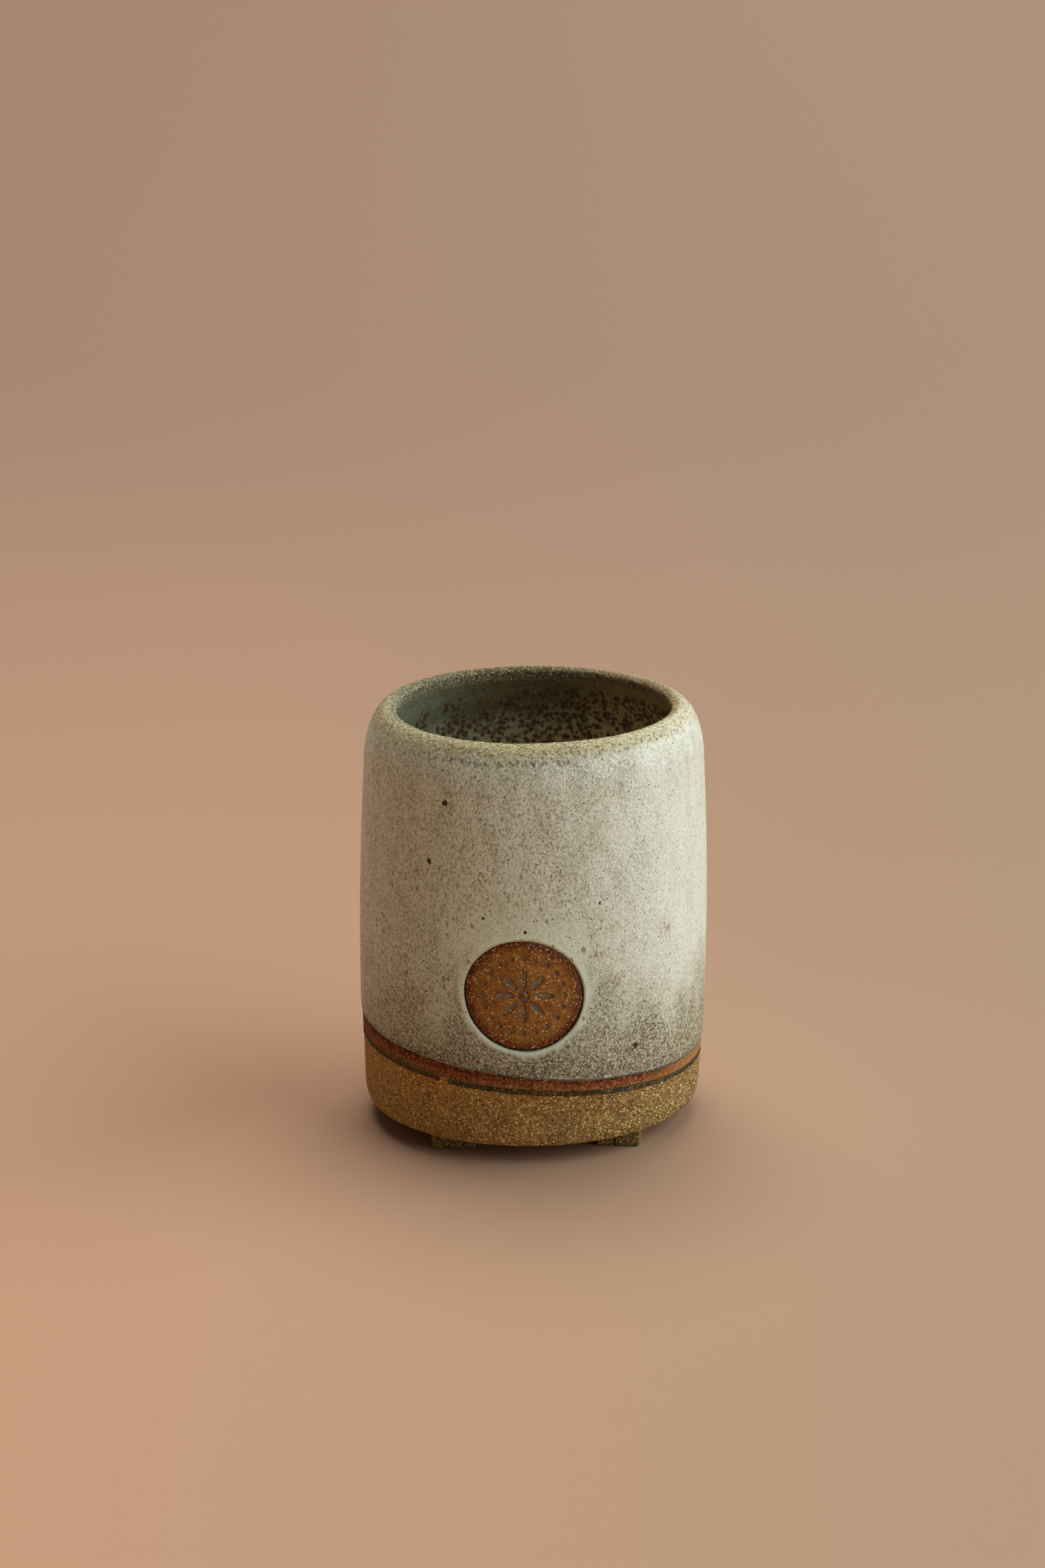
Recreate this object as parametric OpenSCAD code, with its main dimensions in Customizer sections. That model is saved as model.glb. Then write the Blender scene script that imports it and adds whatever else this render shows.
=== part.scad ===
// Stoneware toothbrush cup, thrown on the wheel.
// Z is up, the floor is z = 0, the axis of the pot is the Z axis and its seal faces -Y.
// Lengths are in millimetres and angles in degrees.

/* [Pot] */
// Height of the thrown pot, from its underside to the crest of its lip
pot_h = 87.9; // [80:0.1:100]
// Radius of the clay at the widest place of the belly
belly_r = 37.6; // [34:0.1:44]
// Height of the widest place over the underside
belly_z = 37.5; // [28:0.5:50]
// How far the wall draws in from the belly down to the heel
heel_fall = 0.6; // [0:0.1:3]
// Height of the rounded heel
heel_h = 4.2; // [2:0.1:7]
// How far the heel draws in down to the underside
heel_in = 1.2; // [0.6:0.1:3]
// How far the wall draws in from the belly up to the neck, where the shoulder starts
neck_fall = 1.1; // [0:0.1:4]
// Height of the shoulder, from the neck to the crest of the lip
shoulder_h = 12.2; // [8:0.2:18]
// How far the shoulder draws in from the neck to the crest of the lip
shoulder_in = 5; // [3:0.1:8]
// How far the round inside of the lip runs inward
lip_in = 1.7; // [1:0.1:2.6]
// How far the round inside of the lip drops
lip_drop = 1; // [0.5:0.1:2]
// Thickness of the thrown wall
wall_t = 4.2; // [3:0.1:6]
// Thickness of the floor
floor_t = 6; // [4:0.2:9]
// Radius of the corner between the floor and the wall, inside
corner_r = 9; // [5:0.5:14]

/* [Glaze] */
// Thickness of the glaze on the outer wall
glaze_t = 0.4; // [0.3:0.05:0.8]
// Thickness of the glaze where it breaks over the lip
break_t = 0.2; // [0.15:0.05:0.3]
// Thickness of the glaze inside
liner_t = 0.3; // [0.2:0.05:0.6]
// Tilt of the line to which the pot was dipped, higher at -X
dip_tilt = 5.7; // [0:0.1:7]
// Width of the pooled collar of glaze around the seal
collar_w = 1.9; // [1:0.1:3]
// How far the collar stands over the glaze around it
collar_t = 0.25; // [0.1:0.05:0.5]

/* [Iron slip] */
// Thickness of the brushed coat of iron slip between the line and the glaze
wash_t = 0.15; // [0.1:0.05:0.25]
// Height of the brushed band at the axis
wash_w = 2.9; // [1.8:0.1:5]
// Height of the middle of the incised line over the underside, at the axis
line_z = 12.6; // [10:0.1:14]
// Width of the incised line
line_w = 1; // [0.6:0.1:1.6]
// Depth of the incised line
line_depth = 0.5; // [0.3:0.1:1]
// Tilt of the incised line, higher at -X
line_tilt = 4; // [0:0.1:5.5]
// Length of the stretch where the line breaks off
line_gap = 2; // [1:0.1:4]
// Direction of that stretch from the front, towards +X
line_gap_turn = -31; // [-60:1:60]

/* [Seal] */
// Radius of the round clay seal
seal_r = 12.4; // [9:0.1:13]
// Height of its middle over the underside
seal_z = 34.6; // [33:0.1:44]
// Direction of the seal from the front, towards +X
seal_turn = -3.1; // [-20:0.1:20]
// Depth to which the seal is let into the wall
seal_t = 1.6; // [1:0.1:2.2]
// How far its face lies below the clay around it
seal_sink = 0.2; // [0.1:0.05:0.5]

/* [Feet] */
// Height of a foot, from the floor to the underside of the pot
foot_h = 4.1; // [3:0.1:7]
// Width of a foot
foot_w = 9.8; // [7:0.1:12]
// Depth of a foot, from its front to its back
foot_d = 10; // [7:0.1:12]
// How far the middle of a foot lies inside the edge of the underside
foot_inset = 8.8; // [8:0.1:12]
// Direction of each foot from the front or the back: front left, front right, back left, back right
foot_turn = [39, 41, 40, 42]; // [35:1:55]
// How far the cut corners of a foot are taken off
foot_corner = 1.2; // [0.8:0.1:2.4]
// How far a foot draws in to its sole
foot_draft = 0.3; // [0.2:0.1:1]
// Height of the worn edge around the sole
sole_edge = 0.4; // [0.3:0.1:1]
// How far each foot is set askew, in the same order
foot_askew = [-2, -5, -4, 6]; // [-10:1:10]

/* [Hidden] */

$fn = 96;
heel_steps = 5;
belly_steps = 5;
rise_steps = 7;
shoulder_steps = 10;
lip_steps = 5;
throat_steps = 8;
corner_steps = 6;

// Each cut overruns what it cuts by this much
over = 1;
// Half the size of a block that covers the pot on one side of a slanting plane
reach = 2 * (belly_r + pot_h);

heel_r = belly_r - heel_fall;
neck_r = belly_r - neck_fall;
lip_r = neck_r - shoulder_in;
underside_r = heel_r - heel_in;
neck_z = pot_h - shoulder_h;
throat_r = lip_r - lip_in;
throat_z = pot_h - lip_drop;
cavity_neck_r = neck_r - wall_t;
cavity_low_z = floor_t + corner_r;
dip_z = line_z + line_w / 2 + wash_w;
foot_ring_r = underside_r - foot_inset;

clay = "#9c7a48";
glaze = "#c3bfa3";
liner = "#5d6656";
seal_clay = "#8a5424";
iron = "#8f4a1e";
line_slip = "#34362c";
foot_clay = "#5f5632";

// Share that sets off and arrives without a kink
function eased(share) = share * share * (3 - 2 * share);

// Outline of the clay, as points of radius and height over the underside
function swell(z) = z < belly_z
    ? belly_r - (belly_r - heel_r) * pow((belly_z - z) / (belly_z - heel_h), 2)
    : belly_r - (belly_r - neck_r) * pow((z - belly_z) / (neck_z - belly_z), 2);
heel_points = [for (k = [0 : heel_steps]) let (a = 90 * k / heel_steps)
    [underside_r + heel_in * sin(a), heel_h * (1 - cos(a))]];
wall_points = concat(
    [for (k = [1 : belly_steps]) let (z = heel_h + (belly_z - heel_h) * k / belly_steps)
        [swell(z), z]],
    [for (k = [1 : rise_steps]) let (z = belly_z + (neck_z - belly_z) * k / rise_steps)
        [swell(z), z]]);
shoulder_points = [for (k = [1 : shoulder_steps]) let (a = 90 * k / shoulder_steps)
    [lip_r + (neck_r - lip_r) * cos(a), neck_z + shoulder_h * sin(a)]];
lip_points = [for (k = [1 : lip_steps]) let (a = 90 * k / lip_steps)
    [lip_r - lip_in * sin(a), pot_h - lip_drop * (1 - cos(a))]];
throat_points = [for (k = [1 : throat_steps]) let (fall = 1 - k / throat_steps)
    [cavity_neck_r - (cavity_neck_r - throat_r) * eased(fall), neck_z + (throat_z - neck_z) * fall]];
cavity_points = concat(
    [for (k = [1 : rise_steps]) let (z = neck_z - (neck_z - belly_z) * k / rise_steps)
        [swell(z) - wall_t, z]],
    [for (k = [1 : belly_steps]) let (z = belly_z - (belly_z - cavity_low_z) * k / belly_steps)
        [swell(z) - wall_t, z]]);
corner_top_r = swell(cavity_low_z) - wall_t;
corner_points = [for (k = [1 : corner_steps]) let (a = 90 * k / corner_steps)
    [corner_top_r - corner_r * (1 - cos(a)), cavity_low_z - corner_r * sin(a)]];

outline = concat(heel_points, wall_points, shoulder_points, lip_points,
    throat_points, cavity_points, corner_points, [[0, floor_t]]);
glaze_from = len(heel_points) - 1;
neck_at = glaze_from + len(wall_points);
crest_at = neck_at + len(shoulder_points);
throat_at = crest_at + len(lip_points);
inner_neck_at = throat_at + len(throat_points);
last = len(outline) - 1;

// Direction that points away from the clay at one point of the outline
function away(i) = let (
    along = outline[min(i + 1, last)] - outline[max(i - 1, 0)],
    unit = along / norm(along))
    [unit[1], -unit[0]];

// One point of the outline moved away from the clay, or into it where t is negative
function coat(i, t) = i == last ? outline[i] + [0, t] : outline[i] + t * away(i);

// Thickness of the outer glaze, which thins over the shoulder, and of the liner, which thickens below the lip
function outer_t(i) = i <= neck_at ? glaze_t
    : max(break_t, glaze_t - (glaze_t - break_t) * (i - neck_at) / (crest_at - neck_at));
function inner_t(i) = i >= inner_neck_at ? liner_t
    : break_t + (liner_t - break_t) * (i - throat_at) / (inner_neck_at - throat_at);

// Solid of revolution with its outline's heights counted from the underside of the pot
module turned(points) {
    translate([0, 0, foot_h])
        rotate_extrude()
            polygon(points);
}

// Skin on the outer wall between two depths, from the heel to the neck
module wall_skin(from_t, to_t) {
    turned(concat(
        [for (i = [glaze_from : neck_at]) coat(i, from_t)],
        [for (i = [neck_at : -1 : glaze_from]) coat(i, to_t)]));
}

// Everything above a plane that slants down towards +X
module above(z, tilt) {
    translate([0, 0, foot_h + z])
        rotate([0, tilt, 0])
            translate([-reach, -reach, 0])
                cube([2 * reach, 2 * reach, reach]);
}

module below(z, tilt) {
    translate([0, 0, foot_h + z])
        rotate([0, tilt, 0])
            translate([-reach, -reach, -reach])
                cube([2 * reach, 2 * reach, reach]);
}

// Round bar that runs from the axis out through the seal
module seal_bar(r) {
    rotate([0, 0, seal_turn])
        translate([0, 0, foot_h + seal_z])
            rotate([90, 0, 0])
                cylinder(h = belly_r + over, r = r);
}

// Groove of the incised line, with the stretch where the tool was lifted left whole
module line_ring(proud) {
    intersection() {
        wall_skin(-line_depth, proud);
        above(line_z - line_w / 2, line_tilt);
        below(line_z + line_w / 2, line_tilt);
        lifted_tool();
    }
}

// All but the short stretch where the line breaks off
module lifted_tool() {
    difference() {
        translate([-reach, -reach, 0])
            cube([2 * reach, 2 * reach, foot_h + pot_h]);
        rotate([0, 0, line_gap_turn])
            translate([-line_gap / 2, -reach, -over])
                cube([line_gap, reach, foot_h + pot_h + 2 * over]);
    }
}

module pot_body() {
    color(clay)
        difference() {
            turned(concat([[0, 0]], outline));
            intersection() {
                wall_skin(-seal_t, over);
                seal_bar(seal_r);
            }
            line_ring(over);
        }
}

module outer_glaze() {
    color(glaze)
        difference() {
            union() {
                turned(concat(
                    [for (i = [glaze_from : throat_at]) outline[i]],
                    [for (i = [throat_at : -1 : glaze_from]) coat(i, outer_t(i))]));
                intersection() {
                    wall_skin(0, glaze_t + collar_t);
                    seal_bar(seal_r + collar_w);
                }
            }
            below(dip_z, dip_tilt);
            seal_bar(seal_r);
        }
}

module liner_glaze() {
    color(liner)
        turned(concat(
            [for (i = [throat_at : last]) outline[i]],
            [for (i = [last : -1 : throat_at]) coat(i, inner_t(i))]));
}

module seal() {
    color(seal_clay)
        intersection() {
            wall_skin(-seal_t, -seal_sink);
            seal_bar(seal_r);
        }
}

module iron_wash() {
    color(iron)
        intersection() {
            wall_skin(0, wash_t);
            above(line_z + line_w / 2, line_tilt);
            below(dip_z, dip_tilt);
        }
}

module iron_line() {
    color(line_slip)
        line_ring(0);
}

// Hand-cut block of clay with its corners taken off and its sides drawn in to the sole
module foot(side, end, k) {
    color(foot_clay)
        translate(foot_ring_r * [side * sin(foot_turn[k]), end * cos(foot_turn[k]), 0])
            rotate([0, 0, foot_askew[k]])
                intersection() {
                    linear_extrude(foot_h)
                        polygon(foot_plan());
                    foot_side(foot_w, foot_d);
                    rotate([0, 0, 90])
                        foot_side(foot_d, foot_w);
                }
}

function foot_plan() = let (x = foot_w / 2, y = foot_d / 2, c = foot_corner)
    [[x - c, -y], [x, c - y], [x, y - c], [x - c, y], [c - x, y], [-x, y - c], [-x, c - y], [c - x, -y]];

// Side view of the block, drawn across it
module foot_side(width, length) {
    top = width / 2;
    low = top - foot_draft;
    translate([0, length / 2 + over, 0])
        rotate([90, 0, 0])
            linear_extrude(length + 2 * over)
                polygon([[-top, foot_h], [-low, sole_edge], [sole_edge - low, 0],
                    [low - sole_edge, 0], [low, sole_edge], [top, foot_h]]);
}

module foot_front_left() { foot(-1, -1, 0); }
module foot_front_right() { foot(1, -1, 1); }
module foot_back_left() { foot(-1, 1, 2); }
module foot_back_right() { foot(1, 1, 3); }

pot_body();
outer_glaze();
liner_glaze();
seal();
iron_wash();
iron_line();
foot_front_left();
foot_front_right();
foot_back_left();
foot_back_right();
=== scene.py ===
import math

import bpy
from mathutils import Matrix, Vector, noise


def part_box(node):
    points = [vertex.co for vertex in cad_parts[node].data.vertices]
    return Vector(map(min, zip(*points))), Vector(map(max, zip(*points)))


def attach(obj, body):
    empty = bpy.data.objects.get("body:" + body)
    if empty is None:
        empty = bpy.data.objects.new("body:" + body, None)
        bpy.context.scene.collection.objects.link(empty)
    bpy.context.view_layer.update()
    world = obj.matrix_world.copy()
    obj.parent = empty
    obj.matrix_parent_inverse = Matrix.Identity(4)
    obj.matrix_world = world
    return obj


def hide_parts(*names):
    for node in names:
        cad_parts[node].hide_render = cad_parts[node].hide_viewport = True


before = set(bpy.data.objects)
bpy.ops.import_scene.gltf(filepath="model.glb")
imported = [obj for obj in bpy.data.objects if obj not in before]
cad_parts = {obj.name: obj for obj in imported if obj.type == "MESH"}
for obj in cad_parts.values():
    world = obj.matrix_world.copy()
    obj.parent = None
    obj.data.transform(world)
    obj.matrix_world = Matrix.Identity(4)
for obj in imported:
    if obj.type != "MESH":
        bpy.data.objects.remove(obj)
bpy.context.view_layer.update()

# The camera looks at the pot from the front and above its rim, through a long lens, and is
# tilted by half a degree. Its picture is two wide by three high.
MM = 0.001
camera_place = Vector((-2.03, -856.7, 329.6)) * MM
camera_pitch = 0.29
camera_roll = -0.01
lens = 94.9
long_side = 36

bpy.ops.object.camera_add()
camera = bpy.context.object
camera.matrix_world = (Matrix.Translation(camera_place)
                       @ Matrix.Rotation(math.pi / 2 - camera_pitch, 4, "X")
                       @ Matrix.Rotation(camera_roll, 4, "Z"))
camera.data.lens = lens
camera.data.sensor_width = long_side
camera.data.clip_end = 50
bpy.context.scene.camera = camera

# The body is thrown from coarse brown stoneware: a round wall that swells a little, a shoulder
# drawn in to the lip and a flat cut underside. Only the clay below the glaze stays in sight.
body_low, body_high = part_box("pot_body")
ground = body_low.z
pot_height = body_high.z - ground
belly_radius = (body_high.x - body_low.x) / 2
belly_height = 37.5 * MM
heel_radius = belly_radius - 0.6 * MM
heel_height = 4.2 * MM
heel_in = 1.2 * MM
neck_radius = belly_radius - 1.1 * MM
neck_height = pot_height - 12.2 * MM
lip_radius = neck_radius - 5 * MM
lip_in = 1.7 * MM
lip_drop = 1 * MM
wall = 4.2 * MM
floor_height = 6 * MM
corner = 9 * MM
bare_top = 21.4 * MM
sunk = 0.15 * MM
clay_pitch = 0.3 * MM
hidden_pitch = 14 * MM
body_columns = 800
weld = 0.0001 * MM
hair = 0.05 * MM
lump_size = 1.4 * MM
lump_depth = 0.12 * MM
grog_size = 0.62 * MM
grog_depth = 0.24 * MM

line_height = 12.55 * MM
line_slope = 0.07
line_width = 0.85 * MM
line_edge = line_width * 0.6
line_depth = 0.22 * MM
line_zone = 0.6 * MM
line_pitch = 0.12 * MM
line_sway = 0.12 * MM
line_shake = 0.05 * MM
line_reach = (9 * MM, 34 * MM)
wash_bed = 0.2 * MM
wash_pitch = 0.9 * MM
bed_start = 0.55 * MM
bed_full = 0.8 * MM
line_gap = math.radians(-31)
line_gap_width = math.radians(3)


def wall_radius(height):
    """Radius of the thrown wall at a height over the underside."""
    if height < belly_height:
        fall = (belly_height - height) / (belly_height - heel_height)
        return belly_radius - (belly_radius - heel_radius) * fall ** 2
    rise = (height - belly_height) / (neck_height - belly_height)
    return belly_radius - (belly_radius - neck_radius) * rise ** 2


def steps(start, end, pitch):
    """Even steps from start to end, both included, no wider than the pitch."""
    count = max(1, math.ceil(abs(end - start) / pitch))
    return [start + (end - start) * k / count for k in range(count + 1)]


def shoulder(turn):
    return (lip_radius + (neck_radius - lip_radius) * math.cos(turn),
            neck_height + (pot_height - neck_height) * math.sin(turn))


def lip(turn):
    return lip_radius - lip_in * math.sin(turn), pot_height - lip_drop * (1 - math.cos(turn))


def throat(fall):
    inner = neck_radius - wall
    return (inner - (inner - lip_radius + lip_in) * fall * fall * (3 - 2 * fall),
            neck_height + (pot_height - lip_drop - neck_height) * fall)


def inner_corner(turn):
    top = floor_height + corner
    return (wall_radius(top) - wall - corner * (1 - math.cos(turn)), top - corner * math.sin(turn))


def thicken(points, depths):
    """Moves each point of an outline off the clay by its depth."""
    moved = []
    for k, (radius, height) in enumerate(points):
        back = points[max(0, k - 1)]
        ahead = points[min(len(points) - 1, k + 1)]
        along = Vector((ahead[0] - back[0], ahead[1] - back[1])).normalized()
        moved.append((radius + along.y * depths[k], height - along.x * depths[k]))
    return moved


def turn_piece(name, outline, columns, sweep=2 * math.pi, base=ground):
    """Turns an outline of radii and heights over a base round the axis of the wheel."""
    outline = [(radius, base + height) for radius, height in outline]
    bpy.ops.object.select_all(action="DESELECT")
    bpy.ops.mesh.primitive_plane_add(size=MM, location=(outline[0][0], 0, outline[0][1]))
    piece = bpy.context.object
    piece.name = name
    bpy.ops.object.transform_apply(location=True, rotation=True, scale=True)
    bpy.ops.object.mode_set(mode="EDIT")
    bpy.ops.mesh.select_mode(type="VERT")
    bpy.ops.mesh.merge(type="CENTER")
    for here, there in zip(outline, outline[1:]):
        bpy.ops.mesh.extrude_vertices_move(
            TRANSFORM_OT_translate={"value": (there[0] - here[0], 0, there[1] - here[1])})
    bpy.ops.object.mode_set(mode="OBJECT")
    for point, (radius, height) in zip(piece.data.vertices, outline):
        point.co = (radius, 0, height)
    wheel = piece.modifiers.new("wheel", "SCREW")
    wheel.angle = sweep
    wheel.steps = wheel.render_steps = columns
    wheel.use_merge_vertices = sweep == 2 * math.pi
    wheel.merge_threshold = weld
    bpy.ops.object.modifier_apply(modifier="wheel")
    bpy.ops.object.mode_set(mode="EDIT")
    bpy.ops.mesh.select_all(action="SELECT")
    bpy.ops.mesh.remove_doubles(threshold=weld)
    bpy.ops.mesh.fill_holes(sides=0)
    bpy.ops.mesh.select_all(action="SELECT")
    bpy.ops.mesh.normals_make_consistent(inside=False)
    bpy.ops.object.mode_set(mode="OBJECT")
    return piece


def reshape(piece, change):
    """Moves every point of a piece to where change puts it."""
    for point in piece.data.vertices:
        point.co = change(point.co.copy())
    piece.data.update()


def move_to(place, radius, height):
    """A place in the same direction, at another radius and height over the underside."""
    reach = radius / math.hypot(place.x, place.y)
    return Vector((place.x * reach, place.y * reach, ground + height))


def measure(piece, name, rule):
    """Writes a number for every point of a piece, which its finish reads."""
    marks = piece.data.attributes.new(name, "FLOAT", "POINT")
    marks.data.foreach_set("value", [rule(point.co) for point in piece.data.vertices])


def roughen(piece, kind, size, depth, share):
    """Sinks the surface round lumps or grains of one size, where share says how deep."""
    lumps = bpy.data.textures.new(piece.name + "_" + kind.lower(), kind)
    lumps.noise_scale = size
    where = piece.vertex_groups.new(name=kind.lower())
    for point in piece.data.vertices:
        weight = share(point.co)
        if weight > 0:
            where.add([point.index], weight, "REPLACE")
    press = piece.modifiers.new(kind.lower(), "DISPLACE")
    press.texture = lumps
    press.texture_coords = "LOCAL"
    press.vertex_group = where.name
    press.mid_level = 1 if kind == "CLOUDS" else 0
    press.strength = depth if kind == "CLOUDS" else -depth
    bpy.context.view_layer.objects.active = piece
    bpy.ops.object.modifier_apply(modifier=press.name)


def ring_noise(place, size):
    """Noise round the pot that is alike at every height and on every layer of it."""
    return noise.noise(Vector((place.x, place.y, 0)).normalized() * belly_radius / size)


def line_at(place):
    """Height of the incised line over the underside, round the pot."""
    return (line_height - line_slope * place.x + line_sway * ring_noise(place, 9 * MM)
            + line_shake * ring_noise(place, 2.4 * MM))


def blend_in(value, start, end):
    share = min(1, max(0, (value - start) / (end - start)))
    return share * share * (3 - 2 * share)


def bearing(place):
    """Direction of a place from the front of the pot, towards +X."""
    return math.atan2(place.x, -place.y)


def in_line(place):
    """How deep the tool cut the line here, from 0 to 1."""
    off = abs(bearing(place) - line_gap)
    return blend_in(off, line_gap_width / 2, line_gap_width / 2 + math.radians(1))


lean = 1.17 / 90
lean_middle = 45 * MM
egg = 0.035
egg_start = neck_height - 25 * MM
swell_depth = 0.11 * MM
lip_sag = 0.08 * MM


def settle(piece):
    """Gives each layer of the pot the same lean, egg shape and uneven swell."""
    def change(place):
        height = place.z - ground
        swell = swell_depth * (noise.noise(place.normalized() * 1.7) - 1)
        radius = math.hypot(place.x, place.y)
        grow = 1 + swell / belly_radius
        rise = blend_in(height, egg_start, pot_height)
        dip = lip_sag * (1 + ring_noise(place, 22 * MM)) * rise if radius > 0.01 * MM else 0
        return Vector((place.x * grow + lean * (place.z - lean_middle),
                       place.y * grow * (1 - egg * rise * place.x / lip_radius),
                       place.z - dip))
    reshape(piece, change)


underside = [(radius, 0) for radius in steps(0, heel_radius - heel_in, 1.6 * MM)]
heel = [(heel_radius - heel_in + heel_in * math.sin(turn), heel_height * (1 - math.cos(turn)))
        for turn in steps(0, math.pi / 2, 0.09)]
bare = [(wall_radius(height), height) for height in
        steps(heel_height, line_height - 0.7 * MM, clay_pitch)
        + steps(line_height - line_zone, line_height + line_zone, line_pitch)
        + steps(line_height + bed_full, bare_top, wash_pitch)]
covered = [(wall_radius(height) - sunk, height)
           for height in steps(bare_top + MM, neck_height, hidden_pitch)]
top = [shoulder(turn) for turn in steps(0.3, math.pi / 2, 0.3)]
top += [lip(turn) for turn in steps(0.5, math.pi / 2, 0.5)]
top += [throat(fall) for fall in steps(0.75, 0.25, 0.25)]
top = thicken(top, [-sunk] * len(top))
inside = [(wall_radius(height) - wall + sunk, height)
          for height in steps(neck_height, floor_height + corner, hidden_pitch)]
inside += [(radius, height - sunk)
           for radius, height in map(inner_corner, steps(0.3, math.pi / 2, 0.35))]
pot = turn_piece("thrown_pot", underside + heel[1:] + bare[1:] + covered + top + inside
                 + [(0, floor_height - sunk)], body_columns)


def cut_line(place):
    """Tilts the rows of the wall along the line, cuts its groove and sinks the bed of the wash."""
    height = place.z - ground
    depth = wall_radius(height) - math.hypot(place.x, place.y)
    if height < heel_height or depth > 0.5 * MM:
        return place
    near = min(blend_in(height, heel_height, line_reach[0]), blend_in(height, line_reach[1], bare_top))
    moved = height + (line_at(place) - line_height) * near
    groove = blend_in(abs(height - line_height), line_edge, line_width * 0.45)
    under_wash = wash_bed * blend_in(height, line_height + bed_start, line_height + bed_full)
    return move_to(place, wall_radius(moved) - depth - line_depth * groove * in_line(place)
                   - under_wash, moved)


reshape(pot, cut_line)

seal_radius = 12.48 * MM
seal_height = 34.35 * MM
seal_turn = math.radians(-3.4)
seal_depth = 1.6 * MM
seal_oval = 0.018
seal_oval_turn = math.radians(165)
punch_sides = 160
punch_start = 4 * MM
punch_length = 8 * MM


def seal_edge(turn):
    """Radius of the seal in one direction round its own middle."""
    wave = noise.noise(Vector((math.cos(turn), math.sin(turn), 0.3)) * 3)
    return seal_radius * (1 + seal_oval * math.cos(2 * (turn - seal_oval_turn)) + 0.006 * wave)


def on_seal(place):
    """Place across and up from the middle of the seal, and out from the axis of the pot."""
    turned = Matrix.Rotation(-seal_turn, 3, "Z") @ place
    return turned.x, turned.z - ground - seal_height, -turned.y


def seal_cutter(spare):
    """Round punch as wide as the seal, which runs out through the wall."""
    bpy.ops.object.select_all(action="DESELECT")
    bpy.ops.mesh.primitive_circle_add(vertices=punch_sides, radius=seal_radius, fill_type="NGON")
    punch = bpy.context.object
    for point in punch.data.vertices:
        turn = math.atan2(point.co.y, point.co.x)
        radius = seal_edge(turn) + spare
        point.co = (radius * math.cos(turn), radius * math.sin(turn), 0)
    bpy.ops.object.mode_set(mode="EDIT")
    bpy.ops.mesh.select_all(action="SELECT")
    bpy.ops.mesh.extrude_region_move(TRANSFORM_OT_translate={"value": (0, 0, punch_length)})
    bpy.ops.mesh.select_all(action="SELECT")
    bpy.ops.mesh.normals_make_consistent(inside=False)
    bpy.ops.object.mode_set(mode="OBJECT")
    stand = (Matrix.Translation((0, 0, ground + seal_height)) @ Matrix.Rotation(seal_turn, 4, "Z")
             @ Matrix.Translation((0, -belly_radius + punch_start, 0))
             @ Matrix.Rotation(math.pi / 2, 4, "X"))
    punch.data.transform(stand)
    return punch


def punch_out(piece, spare):
    """Cuts the round place of the seal out of a piece."""
    punch = seal_cutter(spare)
    cut = piece.modifiers.new("seal", "BOOLEAN")
    cut.object = punch
    cut.operation = "DIFFERENCE"
    cut.solver = "MANIFOLD"
    bpy.context.view_layer.objects.active = piece
    bpy.ops.object.modifier_apply(modifier="seal")
    bpy.data.objects.remove(punch)


def bare_clay(place):
    height = place.z - ground
    return 1 if height < bare_top + 0.5 * MM and math.hypot(place.x, place.y) > 0.5 * MM else 0


def rough_clay(place):
    """The cut underside is smoother than the wall."""
    return 0.35 if place.z < ground + hair else bare_clay(place)


roughen(pot, "CLOUDS", lump_size, lump_depth, rough_clay)
roughen(pot, "VORONOI", grog_size, grog_depth, rough_clay)
punch_out(pot, 0.2 * MM)
measure(pot, "below", lambda place: (line_at(place) - place.z + ground) / MM)
settle(pot)


def srgb(red, green, blue):
    """A colour as it looks on a screen, as the shader wants it."""
    return tuple((c / 3294.6 if c < 11 else ((c / 255 + 0.055) / 1.055) ** 2.4)
                 for c in (red, green, blue)) + (1,)


def add_step(kind, feeds, **settings):
    """Adds one step to the finish, sets it, and feeds it values or other steps."""
    step = finish.node_tree.nodes.new(kind)
    for setting, value in settings.items():
        setattr(step, setting, value)
    for socket, value in feeds.items():
        if isinstance(value, bpy.types.NodeSocket):
            finish.node_tree.links.new(value, step.inputs[socket])
        else:
            step.inputs[socket].default_value = value
    return step


def new_finish(name):
    """Starts a finish. Each step is added to the one that the name finish stands for."""
    blank = bpy.data.materials.new(name)
    blank.use_nodes = True
    return blank


def place_in_mm(stretch=(1, 1, 1)):
    """Place on the piece in millimetres, stretched along an axis where its share is small."""
    here = add_step("ShaderNodeTexCoord", {})
    return add_step("ShaderNodeMapping", {
        "Vector": here.outputs["Object"], "Scale": tuple(share / MM for share in stretch)}).outputs[0]


def parts_of(place):
    """How far a place is to +X, to +Y and up, in millimetres."""
    return list(add_step("ShaderNodeSeparateXYZ", {"Vector": place}).outputs)


def cloud(place, size, detail=2.0):
    """Soft noise about 0.5, with lumps of one size in millimetres."""
    return add_step("ShaderNodeTexNoise", {
        "Vector": place, "Scale": 1 / size, "Detail": detail}).outputs["Fac"]


def reckon(operation, first, second=0.0):
    return add_step("ShaderNodeMath", {0: first, 1: second}, operation=operation).outputs[0]


def times(first, second):
    return reckon("MULTIPLY", first, second)


def plus(first, second):
    return reckon("ADD", first, second)


def fade(value, start, end):
    """0 at start and 1 at end, with a soft run between."""
    return add_step("ShaderNodeMapRange", {
        "Value": value, "From Min": start, "From Max": end},
        interpolation_type="SMOOTHSTEP").outputs["Result"]


def unsteady(place, size, amount):
    """Shifts a place by a little noise, so that grains come out of uneven shape."""
    sway = add_step("ShaderNodeTexNoise", {"Vector": place, "Scale": 1 / size, "Detail": 1.0})
    off = add_step("ShaderNodeVectorMath", {0: sway.outputs["Color"], 1: (0.5, 0.5, 0.5)},
                   operation="SUBTRACT").outputs[0]
    return add_step("ShaderNodeVectorMath", {0: off, 1: (amount, amount, amount), 2: place},
                    operation="MULTIPLY_ADD").outputs[0]


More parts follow.
